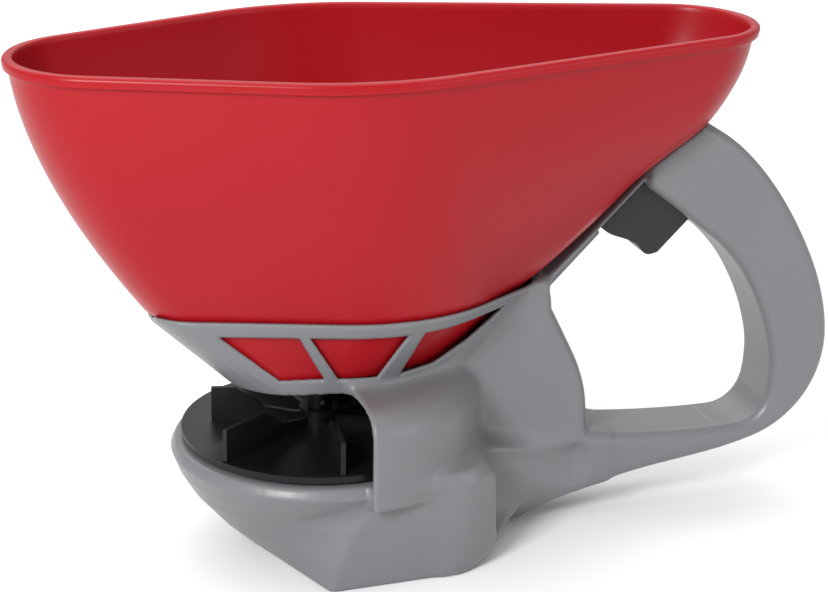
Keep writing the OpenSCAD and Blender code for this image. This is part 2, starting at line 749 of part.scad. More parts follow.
// Steel rod with its lower end turned sideways into the gate's tail
module control_rod() {
    color(steel) difference() {
        union() {
            rod_line(rod_d / 2, rod_low_x, rod_high_x);
            y_rod(on_rod(rod_low_x), rod_d / 2, 0, tail_y[1] + 1);
            translate([rod_low_x, 0, rod_low_x + rod_rise]) sphere(r = rod_d / 2);
        }
        y_rod(on_rod(158), 1, -20, 20);
    }
}

module rod_pin() {
    color(steel) y_rod(on_rod(158), 1 - seat_clear, -trigger_half_w + 0.5, trigger_half_w - 0.5);
}

collar_x = [86, 87.4];
tail_y = [1.9, 4.6];
module spring_collar() {
    color(steel) difference() {
        rod_line(spring_r, collar_x[0], collar_x[1]);
        rod_line(rod_d / 2 + seat_clear, collar_x[0] - 2, collar_x[1] + 2);
    }
}

module trigger_spring() {
    color(steel) difference() {
        rod_line(spring_r, collar_x[1] + 0.05, 104);
        rod_line(rod_d / 2 + 0.6, collar_x[0], 106);
    }
}

module gate() {
    color(black) difference() {
        union() {
            translate([-23, -gate_half_w, gate_bottom]) cube([54, 2 * gate_half_w, gate_t]);
            translate([30, -tail_y[1], gate_bottom]) cube([44, 2 * tail_y[1], gate_t]);
            translate([70, tail_y[0], gate_bottom]) cube([8, tail_y[1] - tail_y[0], gate_t]);
            tail_bar(tail_y, rod_d / 2 + 1.8, 3);
        }
        translate([-2, -port_half_w, gate_bottom - 1]) cube([gate_travel, 2 * port_half_w, 5]);
        translate([-17, -axle_half_y, gate_bottom - 1]) cube([18, 2 * axle_half_y, 5]);
        tail_bar([tail_y[0] - 1, tail_y[1] + 1], rod_d / 2 + 0.1, rod_d / 2 + 0.4);
    }
}

// A bar round the path of the rod's end in the gate, square to the rod,
// so the gate moves sqrt(2) times as far as the rod
module tail_bar(y, half_w, extra) {
    translate([rod_low_x, y[0], rod_low_x + rod_rise]) rotate([0, -45, 0])
        translate([-half_w, 0, -extra]) cube([2 * half_w, y[1] - y[0], trigger_travel + 2 * extra]);
}

hopper();
housing_left();
housing_right();
housing_screws();
gate_guide();
hopper_screws();
upper_shaft_bush();
lower_shaft_bush();
inner_crank_bush();
outer_crank_bush();
impeller();
impeller_shaft();
impeller_pin();
pinion_gear();
agitator();
shaft_clip();
crown_gear();
crank_shaft();
crank_washer();
crank_arm();
crank_screw();
knob_pin();
crank_knob();
knob_cap();
trigger();
control_rod();
rod_pin();
spring_collar();
trigger_spring();
gate();
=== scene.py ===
"""Hand broadcast spreader: its looks, in metres in the frame of the parts. Sizes below are in mm."""

import json
import math

import bmesh
import bpy
import numpy as np
import openvdb as vdb
from mathutils import Matrix, Vector


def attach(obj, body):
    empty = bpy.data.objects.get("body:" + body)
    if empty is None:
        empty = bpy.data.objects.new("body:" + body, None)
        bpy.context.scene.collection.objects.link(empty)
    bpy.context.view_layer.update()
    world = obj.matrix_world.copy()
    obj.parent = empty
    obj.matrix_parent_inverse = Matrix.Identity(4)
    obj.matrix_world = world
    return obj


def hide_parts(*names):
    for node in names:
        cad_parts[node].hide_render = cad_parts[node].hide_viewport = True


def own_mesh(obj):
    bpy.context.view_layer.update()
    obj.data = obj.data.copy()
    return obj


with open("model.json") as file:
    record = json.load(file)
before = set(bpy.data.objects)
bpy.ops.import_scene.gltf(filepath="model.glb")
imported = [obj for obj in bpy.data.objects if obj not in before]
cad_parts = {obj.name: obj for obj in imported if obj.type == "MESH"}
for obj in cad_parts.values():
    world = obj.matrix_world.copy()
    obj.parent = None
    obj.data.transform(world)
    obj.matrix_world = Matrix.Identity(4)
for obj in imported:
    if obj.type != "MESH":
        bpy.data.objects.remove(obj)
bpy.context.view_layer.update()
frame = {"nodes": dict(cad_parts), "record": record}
MM = 0.001
scene = bpy.context.scene

# ---- Sizes, as in the part's source ----------------------------------------
RIM_Z, SEAT_Z, FLOOR_Z, FLOOR_T = 230.0, 117.0, 88.0, 2.4
HOPPER_WALL, BEAD_H, BEAD_OUT = 2.4, 5.0, 2.2
# Outlines from above: front, rear and half-width, x of the side arc, and the front, side and rear radii
RIM = [132.0, 200.0, 75.0, 10.0, 40.0, 110.0, 36.0]
SEAT = [79.0, 96.0, 47.0, 23.0, 24.0, 75.0, 20.0]
FLOOR = [46.0, 60.0, 33.0, 12.0, 29.0, 42.0, 26.0]
# How the hopper's rear swings out: share of the height, share of the way to the rim
REAR_STEPS = [(0, 0), (0.09, 0.13), (0.265, 0.34), (0.4, 0.49), (0.505, 0.64), (0.63, 0.82), (0.82, 0.95),
              (1, 1)]
# The cradle ring under the hopper
RING_LOW_Z, RING_WALL = 79.0, 2.6
RING_TOP = [82.3, 104.0, 50.3, 23.0, 27.3, 78.3, 22.0]
RING_LOW = [41.0, 64.0, 33.5, 11.0, 31.5, 42.0, 28.0]
WALL, HALF_T = 3.0, 18.0
BASE_R, DOME_R, DOME_Z, DOME_X, SHOULDER = 68.0, 71.0, 84.0, 5.0, 14.0
DISC_Z, DISC_T = 55.0, 3.0
DECK_TOP = DISC_Z - DISC_T - 1.5
DECK_BOTTOM = DECK_TOP - 2.0
CRANK_Z = 27.0
TRAVEL = 8.5
PORT_X, PORT_HALF_W = (10.0, 10.0 + TRAVEL * math.sqrt(2)), 11.0
SPRING_R, ROD_R, ROD_RISE = 4.0, 1.5, 7.5
STRIP_HALF_W, SPINE_HALF_W = 14.0, 4.5
# Body screws: x, z and how far out their posts reach
SCREWS = [(-36, 22, 40), (78, 27, 30), (152, 29, 18), (229, 84, 18), (194, 158, 18), (96, 60, 18)]
FLOOR_SCREWS = [(x, y) for x in (-14, 38) for y in (-20, 20)]


# ---- Outlines ----------------------------------------------------------------
def catmull(points, steps):
    """A smooth curve through 2-D points."""
    p = [np.array(q, float) for q in points]
    out = []
    for i in range(len(p) - 1):
        a, b, c, d = p[max(i - 1, 0)], p[i], p[i + 1], p[min(i + 2, len(p) - 1)]
        for j in range(steps):
            t = j / steps
            bend, twist = 2 * a - 5 * b + 4 * c - d, 3 * b - a - 3 * c + d
            out.append(0.5 * (2 * b + (c - a) * t + bend * t * t + twist * t**3))
    out.append(p[-1])
    return [(float(q[0]), float(q[1])) for q in out]


def lerp(a, b, t):
    return [x + (y - x) * t for x, y in zip(a, b)]


def inset(s, g):
    return [s[0] - g, s[1] - g, s[2] - g, s[3], s[4] - g, s[5] - g, s[6] - g]


def arc(c, r, a0, a1, n):
    angles = [a0 + (a1 - a0) * i / n for i in range(n + 1)]
    return [(c[0] + r * math.cos(a), c[1] + r * math.sin(a)) for a in angles]


def boat(s, n=(12, 22, 12)):
    """Front arc, wide side arc and rear arc, joined by their tangents, and mirrored."""
    front, side, rear = (s[4] - s[0], 0.0), (s[3], s[2] - s[5]), (s[1] - s[6], 0.0)

    def tangent(a, ra, b, rb, sign):
        dx, dy = b[0] - a[0], b[1] - a[1]
        return math.atan2(dy, dx) + sign * math.acos((ra - rb) / math.hypot(dx, dy))

    a_front = tangent(front, s[4], side, s[5], 1)
    a_rear = tangent(rear, s[6], side, s[5], -1) + 2 * math.pi
    upper = arc(front, s[4], math.pi, a_front, n[0]) + arc(side, s[5], a_front, a_rear, n[1])
    upper += arc(rear, s[6], a_rear, 0, n[2])
    return upper + [(x, -y) for x, y in reversed(upper[1:-1])]


STEP_CURVE = catmull(REAR_STEPS, 12)


def rear_share(u):
    return float(np.interp(u, [p[0] for p in STEP_CURVE], [p[1] for p in STEP_CURVE]))


def hopper_section(z):
    """The hopper's outer outline at height z."""
    if z < SEAT_Z:
        return lerp(FLOOR, SEAT, (z - FLOOR_Z) / (SEAT_Z - FLOOR_Z))
    u = min((z - SEAT_Z) / (RIM_Z - SEAT_Z), 1.0)
    bulge = 1 - (1 - u) ** 1.65
    return [a + (b - a) * (rear_share(u) if i == 1 else bulge) for i, (a, b) in enumerate(zip(SEAT, RIM))]


# Arm, grip, head, strip and stem, from the side
GRIP_BACK = [(92, 2), (115, 11), (150, 19), (195, 26), (221, 35), (238, 53), (244, 78), (237, 110),
             (218, 146), (194, 174), (164, 193)]
LOOP_OUTER = [(62, 6)] + catmull(GRIP_BACK, 8)
LOOP_OUTER += [(150, 178), (148, 163), (103, 118), (96, 117), (66, 92), (62, 84)]
STEM_REAR = [(124, 42), (123, 60), (119, 75), (112, 90), (105, 104)]
GRIP_INSIDE = [(163, 147), (176, 136), (187, 127), (198, 114), (207, 98), (213, 82), (216, 66), (214, 48),
               (205, 38.5), (190, 37), (160, 38), (132, 40.5)]
LOOP_HOLE = catmull(STEM_REAR, 8) + [(104, 116), (148, 160), (150, 157)] + catmull(GRIP_INSIDE, 6)
# Windows of the ring from front to rear, from the side
WINDOWS = [
    [(-55, 110), (-15.5, 110), (-6.2, 89), (-28, 89)],
    [(-14, 110), (27, 110), (16, 89), (-1, 89)],
    [(35, 110), (78, 111), (60, 98), (44, 90), (27, 89)],
]
# Base: height, front reach and radius, side corner x, y and radius, rear corner x, y and radius
BASE = [
    (0, 31, 24, -9, 57, 4, 44, 46, 13),
    (13, 45, 38, -6, 57, 5, 46, 48, 13),
    (28, 58, 52, 0, 57, 6, 47, 50, 13),
    (38, 64, 61, 10, 56.5, 7, 47, 50, 13.5),
    (46, 67, 67, 20, 56, 8, 47, 50, 14),
    (51, 64.5, 64.5, 20, 54, 7, 46, 49, 13),
]


def turn(a, b, c):
    return (b[0] - a[0]) * (c[1] - a[1]) - (b[1] - a[1]) * (c[0] - a[0])


def hull(points):
    """The convex outline round 2-D points."""
    points = sorted(set((round(x, 4), round(y, 4)) for x, y in points))

    def half(ps):
        out = []
        for p in ps:
            while len(out) > 1 and turn(out[-2], out[-1], p) <= 0:
                out.pop()
            out.append(p)
        return out

    return half(points)[:-1] + half(points[::-1])[:-1]


def base_outline(z):
    """The base's outline at height z."""
    heights = [b[0] for b in BASE]
    columns = [[b[i] for b in BASE] for i in range(1, 9)]
    front, fr, sx, sy, sr, cx, cy, cr = [float(np.interp(z, heights, column)) for column in columns]
    points = arc((fr - front, 0), fr, 0, 2 * math.pi, 72)
    for s in (-1, 1):
        points += arc((sx, s * sy), sr, 0, 2 * math.pi, 24) + arc((cx, s * cy), cr, 0, 2 * math.pi, 32)
    return hull(points)


# ---- Distance fields, in mm --------------------------------------------------
def polygon_distance(u, v, outline):
    """Signed distance to a closed outline, negative inside."""
    shape = np.broadcast(u, v).shape
    best = np.full(shape, 1e9, np.float32)
    inside = np.zeros(shape, bool)
    for (ax, ay), (bx, by) in zip(outline, outline[1:] + outline[:1]):
        ex, ey = bx - ax, by - ay
        if ex * ex + ey * ey < 1e-9:
            continue
        wx, wy = u - ax, v - ay
        t = np.clip((wx * ex + wy * ey) / (ex * ex + ey * ey), 0, 1)
        best = np.minimum(best, (wx - ex * t) ** 2 + (wy - ey * t) ** 2)
        if ay != by:
            inside ^= ((ay > v) != (by > v)) & (u < ex * (v - ay) / ey + ax)
    return np.where(inside, -1, 1).astype(np.float32) * np.sqrt(best)


def smooth_min(a, b, k):
    h = np.maximum(k - np.abs(a - b), 0) / k
    return np.minimum(a, b) - h * h * k / 4


def smooth_max(a, b, k):
    return -smooth_min(-a, -b, k)


def extruded(flat, across, half_t, r):
    """A flat field given thickness, with its edges rounded to r."""
    a, b = flat + r, np.abs(across) - half_t + r
    return np.minimum(np.maximum(a, b), 0) + np.hypot(np.maximum(a, 0), np.maximum(b, 0)) - r


def block(x, y, z, low, high):
    """A box between two corners."""
    d = np.maximum(low[0] - x, x - high[0])
    d = np.maximum(d, np.maximum(low[1] - y, y - high[1]))
    return np.maximum(d, np.maximum(low[2] - z, z - high[2]))


def grid_axes(low, high, h):
    """Points h apart along X, Y and Z, shaped to broadcast to a grid."""
    steps = [np.arange(a, b + h / 2, h, dtype=np.float32) for a, b in zip(low, high)]
    return [s.reshape([-1 if i == j else 1 for j in range(3)]) for i, s in enumerate(steps)]


STACK_MARGIN = 6


def stacked(axes, outline_at, z_low, z_high):
    """A field whose level curves at each height are those of outline_at(z)."""
    x, y, z = axes
    out = np.full((x.size, y.size, z.size), 1e3, np.float32)
    for k, height in enumerate(z.ravel()):
        if z_low - STACK_MARGIN <= height <= z_high + STACK_MARGIN:
            outline = outline_at(min(max(float(height), z_low), z_high))
            out[:, :, k] = polygon_distance(x[:, :, 0], y[:, :, 0], outline)
    return out


def mesh_from_field(name, field, low, h, parting=None):
    """The zero surface of a field, as a mesh in metres, closed off at y = parting."""
    grid = vdb.FloatGrid(3 * h)
    grid.copyFromArray(np.clip(field, -3 * h, 3 * h).astype(np.float32))
    points, tris, quads = grid.convertToPolygons(isovalue=0.0)
    points = (points.astype(np.float64) * h + np.array(low)) * MM
    faces = [list(map(int, q)) for q in quads] + [list(map(int, t)) for t in tris]
    mesh = bpy.data.meshes.new(name)
    mesh.from_pydata(points.tolist(), [], faces)
    bm = bmesh.new()
    bm.from_mesh(mesh)
    if parting is not None:
        geom = bm.verts[:] + bm.edges[:] + bm.faces[:]
        bmesh.ops.bisect_plane(
            bm, geom=geom, dist=1e-7, plane_co=(0, parting * MM, 0), plane_no=(0, -1, 0), clear_outer=True
        )
        rim = [e for e in bm.edges if e.is_boundary]
        bmesh.ops.triangle_fill(bm, use_beauty=True, edges=rim)
        for e in rim:
            e.smooth = False
    bm.faces.index_update()
    drop_crumbs(bm)
    bmesh.ops.recalc_face_normals(bm, faces=bm.faces)
    bm.to_mesh(mesh)
    bm.free()
    mesh.polygons.foreach_set("use_smooth", [True] * len(mesh.polygons))
    obj = bpy.data.objects.new(name, mesh)
    scene.collection.objects.link(obj)
    return obj


def drop_crumbs(bm, least=400):
    """Drops loose crumbs of a few faces."""
    seen = set()
    crumbs = []
    for start in bm.faces:
        if start.index in seen:
            continue
        seen.add(start.index)
        stack, island = [start], []
        while stack:
            f = stack.pop()
            island.append(f)
            for e in f.edges:
                for g in e.link_faces:
                    if g.index not in seen:
                        seen.add(g.index)
                        stack.append(g)
        if len(island) < least:
            crumbs += island
    if crumbs:
        bmesh.ops.delete(bm, geom=crumbs, context="FACES")


# ---- Camera ------------------------------------------------------------------
AZIMUTH, ELEVATION, ROLL = math.radians(-17.77), math.radians(19.65), math.radians(0.9)
TARGET, DISTANCE, LENS = Vector((0.0439, 0.0, 0.1108)), 1.0, 96.96


def add_camera():
    level = math.cos(ELEVATION)
    back = Vector((math.sin(AZIMUTH) * level, -math.cos(AZIMUTH) * level, math.sin(ELEVATION)))
    right = Vector((math.cos(AZIMUTH), math.sin(AZIMUTH), 0))
    up = back.cross(right)
    right, up = right * math.cos(ROLL) + up * math.sin(ROLL), up * math.cos(ROLL) - right * math.sin(ROLL)
    data = bpy.data.cameras.new("Camera")
    data.lens, data.sensor_width, data.clip_start = LENS, 36.0, 0.01
    camera = bpy.data.objects.new("Camera", data)
    place = Matrix((right, up, back)).transposed().to_4x4()
    place.translation = TARGET + back * DISTANCE
    camera.matrix_world = place
    scene.collection.objects.link(camera)
    scene.camera = camera


def add_light(name, place, size, power, aim=(0.04, 0, 0.1)):
    data = bpy.data.lights.new(name, "AREA")
    data.shape, data.size, data.size_y, data.energy = "RECTANGLE", size[0], size[1], power
    light = bpy.data.objects.new(name, data)
    light.location = place
    light.rotation_euler = (Vector(aim) - Vector(place)).to_track_quat("-Z", "Y").to_euler()
    scene.collection.objects.link(light)


def add_studio():
    world = bpy.data.worlds.new("Studio")
    world.use_nodes = True
    back = world.node_tree.nodes["Background"]
    back.inputs["Color"].default_value = (1.0, 1.0, 1.0, 1)
    back.inputs["Strength"].default_value = 0.55
    scene.world = world
    scene.view_settings.view_transform = "Standard"
    add_light("Key", (-0.95, -1.0, 0.95), (0.45, 0.45), 24)
    add_light("Fill", (1.1, -1.0, 0.5), (0.9, 0.7), 3.5)
    add_light("Top", (0.1, 0.2, 1.5), (1.4, 1.0), 11)
    add_light("Back", (0.0, 1.5, 1.3), (2.6, 1.4), 22, aim=(0.0, 1.5, 0))
    add_floor()


def add_floor(s=6.0):
    mesh = bpy.data.meshes.new("Floor")
    mesh.from_pydata([(-s, -s, 0), (s, -s, 0), (s, s, 0), (-s, s, 0)], [], [(0, 1, 2, 3)])
    floor = bpy.data.objects.new("Floor", mesh)
    scene.collection.objects.link(floor)
    mat = bpy.data.materials.new("Pale_floor")
    mat.use_nodes = True
    shader = mat.node_tree.nodes["Principled BSDF"]
    shader.inputs["Base Color"].default_value = (0.86, 0.86, 0.86, 1)
    shader.inputs["Roughness"].default_value = 0.9
    shader.inputs["Specular IOR Level"].default_value = 0.1
    mesh.materials.append(mat)


# ---- Materials ---------------------------------------------------------------
def node(tree, kind, **values):
    """A shader node with its inputs and settings."""
    n = tree.nodes.new(kind)
    for key, value in values.items():
        if key in n.inputs.keys():
            n.inputs[key].default_value = value
        else:
            setattr(n, key, value)
    return n


def ranged(tree, from_min, from_max, to_min, to_max):
    limits = {"From Min": from_min, "From Max": from_max, "To Min": to_min, "To Max": to_max}
    return node(tree, "ShaderNodeMapRange", **limits)


def plastic(name, dark, light, rough, grain=900.0, grain_depth=0.00003, wear=0.25, wear_colour=None,
            metal=0.0, stretch=None, gloss_swing=0.03, specular=0.45):
    """Plastic or drawn metal: drifting colour, uneven gloss, fine grain, scuffs and paler worn edges."""
    mat = bpy.data.materials.new(name)
    mat.use_nodes = True
    tree = mat.node_tree
    link = tree.links.new
    shader = tree.nodes["Principled BSDF"]
    shader.inputs["Metallic"].default_value = metal
    shader.inputs["Specular IOR Level"].default_value = specular
    shader.inputs["IOR"].default_value = 1.49
    place = node(tree, "ShaderNodeTexCoord")
    drift = node(tree, "ShaderNodeTexNoise", Scale=14.0, Detail=5.0, Roughness=0.55)
    link(place.outputs["Object"], drift.inputs["Vector"])
    ramp = node(tree, "ShaderNodeMix", data_type="RGBA")
    ramp.inputs["A"].default_value = (*dark, 1)
    ramp.inputs["B"].default_value = (*light, 1)
    link(drift.outputs["Fac"], ramp.inputs["Factor"])
    # Worn, paler edges where the surface turns sharply
    shape = node(tree, "ShaderNodeNewGeometry")
    edge = ranged(tree, 0.53, 0.62, 0.0, wear)
    link(shape.outputs["Pointiness"], edge.inputs["Value"])
    worn = node(tree, "ShaderNodeMix", data_type="RGBA")
    worn.inputs["B"].default_value = (*(wear_colour or [min(1, c * 1.7 + 0.02) for c in light]), 1)
    link(edge.outputs["Result"], worn.inputs["Factor"])
    link(ramp.outputs["Result"], worn.inputs["A"])
    link(worn.outputs["Result"], shader.inputs["Base Color"])
    # Fine scuffs, drawn out along one direction
    spread = node(tree, "ShaderNodeMapping", Scale=stretch or (60.0, 60.0, 420.0), Rotation=(0.5, 0.3, 0.2))
    link(place.outputs["Object"], spread.inputs["Vector"])
    scuff = node(tree, "ShaderNodeTexNoise", Scale=1.0, Detail=3.0, Roughness=0.7)
    link(spread.outputs["Vector"], scuff.inputs["Vector"])
    gloss = ranged(tree, 0.3, 0.75, rough - gloss_swing, rough + gloss_swing)
    link(scuff.outputs["Fac"], gloss.inputs["Value"])
    link(gloss.outputs["Result"], shader.inputs["Roughness"])
    # Mould grain over a slow waviness
    grains = node(tree, "ShaderNodeTexNoise", Scale=grain, Detail=2.0, Roughness=0.6)
    waves = node(tree, "ShaderNodeTexNoise", Scale=22.0, Detail=1.0)
    link(place.outputs["Object"], grains.inputs["Vector"])
    link(place.outputs["Object"], waves.inputs["Vector"])
    slow = node(tree, "ShaderNodeBump", Strength=0.25, Distance=0.0006)
    link(waves.outputs["Fac"], slow.inputs["Height"])
    fine = node(tree, "ShaderNodeBump", Strength=0.6, Distance=grain_depth)
    link(grains.outputs["Fac"], fine.inputs["Height"])
    link(slow.outputs["Normal"], fine.inputs["Normal"])
    link(fine.outputs["Normal"], shader.inputs["Normal"])
    return mat


RED = plastic("Red_plastic", (0.29, 0.004, 0.008), (0.325, 0.0055, 0.0105), 0.34, grain_depth=0.000008,
              wear=0.05, gloss_swing=0.012, specular=0.22)
GRAY = plastic("Gray_plastic", (0.146, 0.150, 0.159), (0.163, 0.167, 0.177), 0.36, grain_depth=0.000015)
BLACK = plastic("Black_plastic", (0.004, 0.004, 0.0045), (0.007, 0.007, 0.0075), 0.36, wear=0.1,
                wear_colour=(0.035, 0.035, 0.037), specular=0.24)
TRIGGER = plastic("Trigger_plastic", (0.012, 0.0135, 0.016), (0.016, 0.018, 0.021), 0.38, wear=0.2,
                  wear_colour=(0.09, 0.095, 0.1), specular=0.35)
STEEL = plastic("Steel", (0.42, 0.43, 0.44), (0.55, 0.56, 0.57), 0.32, grain=400.0, metal=1.0,
                stretch=(500.0, 500.0, 40.0))
ACETAL = plastic("Acetal", (0.70, 0.69, 0.64), (0.78, 0.77, 0.73), 0.38, wear=0.1)
BY_SLOT = {"red_plastic": RED, "gray_plastic": GRAY, "black_plastic": BLACK, "trigger_plastic": TRIGGER,
           "steel": STEEL, "acetal": ACETAL}


def dress(obj, slot_name):
    obj.data.materials.clear()
    obj.data.materials.append(BY_SLOT[slot_name])


# ---- Hopper ------------------------------------------------------------------
def build_hopper():
    """A shell lofted up the outside, over the rolled bead and down the inside, with its floor pierced."""
    rows = []
    outer_z = list(np.linspace(FLOOR_Z, SEAT_Z, 8)[:-1]) + list(np.linspace(SEAT_Z, RIM_Z - BEAD_H - 0.8, 56))
    rows += [(z, boat(hopper_section(z))) for z in outer_z]
    under = RIM_Z - BEAD_H
    # The bead's height and how far it is set in, from its underside over the top
    bead = [(under - 0.25, -0.25), (under, -0.9), (under + 0.15, -BEAD_OUT + 0.6), (under + 0.6, -BEAD_OUT),
            (RIM_Z - 1.9, -BEAD_OUT - 0.1), (RIM_Z - 0.9, -BEAD_OUT + 0.25), (RIM_Z - 0.25, -BEAD_OUT + 1.0),
            (RIM_Z, -BEAD_OUT + 2.0), (RIM_Z - 0.05, HOPPER_WALL - 1.0), (RIM_Z - 0.5, HOPPER_WALL - 0.3),
            (RIM_Z - 1.3, HOPPER_WALL)]
    rows += [(z, boat(inset(hopper_section(z), g))) for z, g in bead]
    inner_z = list(np.linspace(RIM_Z - 3, SEAT_Z, 54)) + list(np.linspace(SEAT_Z, FLOOR_Z + FLOOR_T, 8)[1:])
    rows += [(z, boat(inset(hopper_section(z), HOPPER_WALL))) for z in inner_z]
    n = len(rows[0][1])
    points = [(x * MM, y * MM, z * MM) for z, outline in rows for x, y in outline]
    faces = []
    for start in range(0, (len(rows) - 1) * n, n):
        faces += [[start + i, start + (i + 1) % n, start + n + (i + 1) % n, start + n + i] for i in range(n)]
    faces += [list(range(n))[::-1], [(len(rows) - 1) * n + i for i in range(n)]]
    mesh = bpy.data.meshes.new("Hopper")
    mesh.from_pydata(points, [], faces)
    bm = bmesh.new()
    bm.from_mesh(mesh)
    bmesh.ops.recalc_face_normals(bm, faces=bm.faces)
    for e in bm.edges:
        e.smooth = len(e.link_faces) != 2 or e.calc_face_angle(0) < 0.7
    bm.to_mesh(mesh)
    bm.free()
    mesh.polygons.foreach_set("use_smooth", [True] * len(mesh.polygons))
    obj = bpy.data.objects.new("Hopper", mesh)
    scene.collection.objects.link(obj)
    cut_holes(obj)
    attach(obj, "body")
    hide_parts("hopper")
    dress(obj, "red_plastic")


def cut_holes(obj):
    """Cuts the port, the shaft's hole and the screws' holes through the hopper's floor."""
    bm = bmesh.new()
    mid = (FLOOR_Z + FLOOR_T / 2) * MM
    depth, shaft_hole_r, screw_hole_r = 8 * MM, 4.2, 1.5
    size = (Matrix.Translation(((PORT_X[0] + PORT_X[1]) / 2 * MM, 0, mid))
            @ Matrix.Diagonal(((PORT_X[1] - PORT_X[0]) * MM, 2 * PORT_HALF_W * MM, depth, 1)))
    bmesh.ops.create_cube(bm, size=1.0, matrix=size)
    for x, y, r in [(0, 0, shaft_hole_r)] + [(x, y, screw_hole_r) for x, y in FLOOR_SCREWS]:
        bmesh.ops.create_cone(bm, cap_ends=True, segments=40, radius1=r * MM, radius2=r * MM, depth=depth,
                              matrix=Matrix.Translation((x * MM, y * MM, mid)))
    mesh = bpy.data.meshes.new("cutter")
    bm.to_mesh(mesh)
    bm.free()
    cutter = bpy.data.objects.new("cutter", mesh)
    scene.collection.objects.link(cutter)
    mod = obj.modifiers.new("holes", "BOOLEAN")
    mod.operation, mod.object, mod.solver = "DIFFERENCE", cutter, "EXACT"
    apply_all(obj)
    bpy.data.objects.remove(cutter)


def apply_all(obj):
    """Turns an object's modifiers into its mesh."""
    graph = bpy.context.evaluated_depsgraph_get()
    made = bpy.data.meshes.new_from_object(obj.evaluated_get(graph))
    obj.modifiers.clear()
    old, obj.data = obj.data, made
    name = old.name
    bpy.data.meshes.remove(old)
    made.name = name


# ---- Body --------------------------------------------------------------------
# A horizontal distance, times its share, is about the true one on the sloping walls
BASE_SLOPE, RING_SLOPE, BOWL_SLOPE = 0.86, 0.8, 0.75
# Flank that draws in to the arm, from above (one side) and from the side
FLANK_PLAN = [(40, 58), (62, 56), (70, 48), (80, 36), (93, 26), (108, 20.5), (124, 18), (135, 17.5)]
FLANK_LOWER = [(72, 3), (82, 7), (94, 12), (115, 16), (135, 18)]
FLANK_UPPER = [(135, 38), (112, 40), (84, 45), (62, 49), (40, 50)]
# Parts of the side view that are narrower than the grip
STRIP_SIDE = [(105, 112), (148, 155), (148, 175), (120, 145), (105, 122)]
SPINE_SIDE = [(96, 99), (148, 151.5), (148, 160), (96, 108)]
# Scoop beside the arm: the ends of its axis, and its radius there
SCOOP_AXIS, SCOOP_R = ((74.0, 42.0, 36.0), (118.0, 26.0, 32.0)), (13.5, 9.5)
# Room for the gate's guide, the gate, its tail and the chute
GATE_ROOMS = [
    ((-30, -19.3, 83.4), (50, 19.3, 89.4)),
    ((40, -7, 84.9), (85, 7, 90.2)),
    ((66, -7, 76), (99, 7, 99)),
    ((PORT_X[0] - 1, -PORT_HALF_W - 1, 70), (PORT_X[1] + 1, PORT_HALF_W + 1, 90)),
]
RING_TOP_Z = SEAT_Z + 0.5
HOPPER_CLEAR, SLIDE_CLEAR = 0.5, 0.3
CROWN_ROOM_R, CROWN_ROOM_Y = 21.2, (4.5, 16.5)
LUG_Z, LUG_R = (78.6, 81.0), 4.5
# Each half stops this far short of the seam
PARTING = 0.06


def flank_field(x, y, z):
    plan = catmull(FLANK_PLAN, 6)
    plan = plan + [(px, -py) for px, py in reversed(plan)]
    side = [(40, 1.5), (62, 1.5)] + catmull(FLANK_LOWER, 4) + FLANK_UPPER
    return smooth_max(polygon_distance(x, y, plan)[:, :, :1], polygon_distance(x, z, side), 12)


def loop_field(x, z, across):
    """Arm, grip, head, strip and stem, with the strip narrowed."""
    flat = np.maximum(polygon_distance(x, z, LOOP_OUTER), -polygon_distance(x, z, LOOP_HOLE))
    loop = extruded(flat, across, HALF_T, 5.5)
    return smooth_max(loop, -np.maximum(polygon_distance(x, z, STRIP_SIDE), STRIP_HALF_W - across), 3)


def scoop_field(x, z, across):
    """A scoop along each side of the arm, drawn out downward."""
    (ax, ay, az), (bx, by, bz) = SCOOP_AXIS
    length_2 = (bx - ax) ** 2 + (by - ay) ** 2 + (bz - az) ** 2
    t = np.clip(((x - ax) * (bx - ax) + (across - ay) * (by - ay) + (z - az) * (bz - az)) / length_2, 0, 1)
    rise = z - az - t * (bz - az)
    rise = np.where(rise < 0, 0.5 * rise, rise)
    gap = np.sqrt((x - ax - t * (bx - ax)) ** 2 + (across - ay - t * (by - ay)) ** 2 + rise**2)
    return gap - (SCOOP_R[0] - (SCOOP_R[0] - SCOOP_R[1]) * t)


def dome_field(radius, z, g):
    """The round housing over the rear of the spinner, set in by g."""
    a, b = radius - (DOME_R - SHOULDER), z - (DOME_Z - SHOULDER)
    return np.minimum(np.maximum(a, b), 0) + np.hypot(np.maximum(a, 0), np.maximum(b, 0)) - SHOULDER + g


def ring_outline(height):
    share = (height - RING_LOW_Z) / (RING_TOP_Z - RING_LOW_Z)
    return boat(lerp(RING_LOW, RING_TOP, share), (6, 12, 6))


def bowl_outline(height):
    return boat(inset(hopper_section(height), -HOPPER_CLEAR), (6, 12, 6))


def inner_fittings(x, y, z, across, radius, around, outside):
    """Ears that hold the hopper, screw posts and the lower bearing's seat."""
    lugs = np.full(outside.shape, 1e3, np.float32)
    for px, py in FLOOR_SCREWS:
        if py > 0:
            arm = block(x, y, z, (px - LUG_R, py, -999), (px + LUG_R, 40, 999))
            ear = np.minimum(np.hypot(x - px, y - py) - LUG_R, arm)
            lugs = np.minimum(lugs, np.maximum(ear, np.maximum(LUG_Z[0] - z, z - LUG_Z[1])))
    posts = np.full(outside.shape, 1e3, np.float32)
    for px, pz, reach in SCREWS:
        posts = np.minimum(posts, np.maximum(np.hypot(x - px, z - pz) - 4.6, across - reach + 1))
    seat = np.maximum(radius - 6.3, np.maximum(2 - z, z - 11))
    fittings = np.minimum(np.maximum(lugs, around + 1), np.maximum(posts, outside + 0.5))
    return np.minimum(fittings, seat)


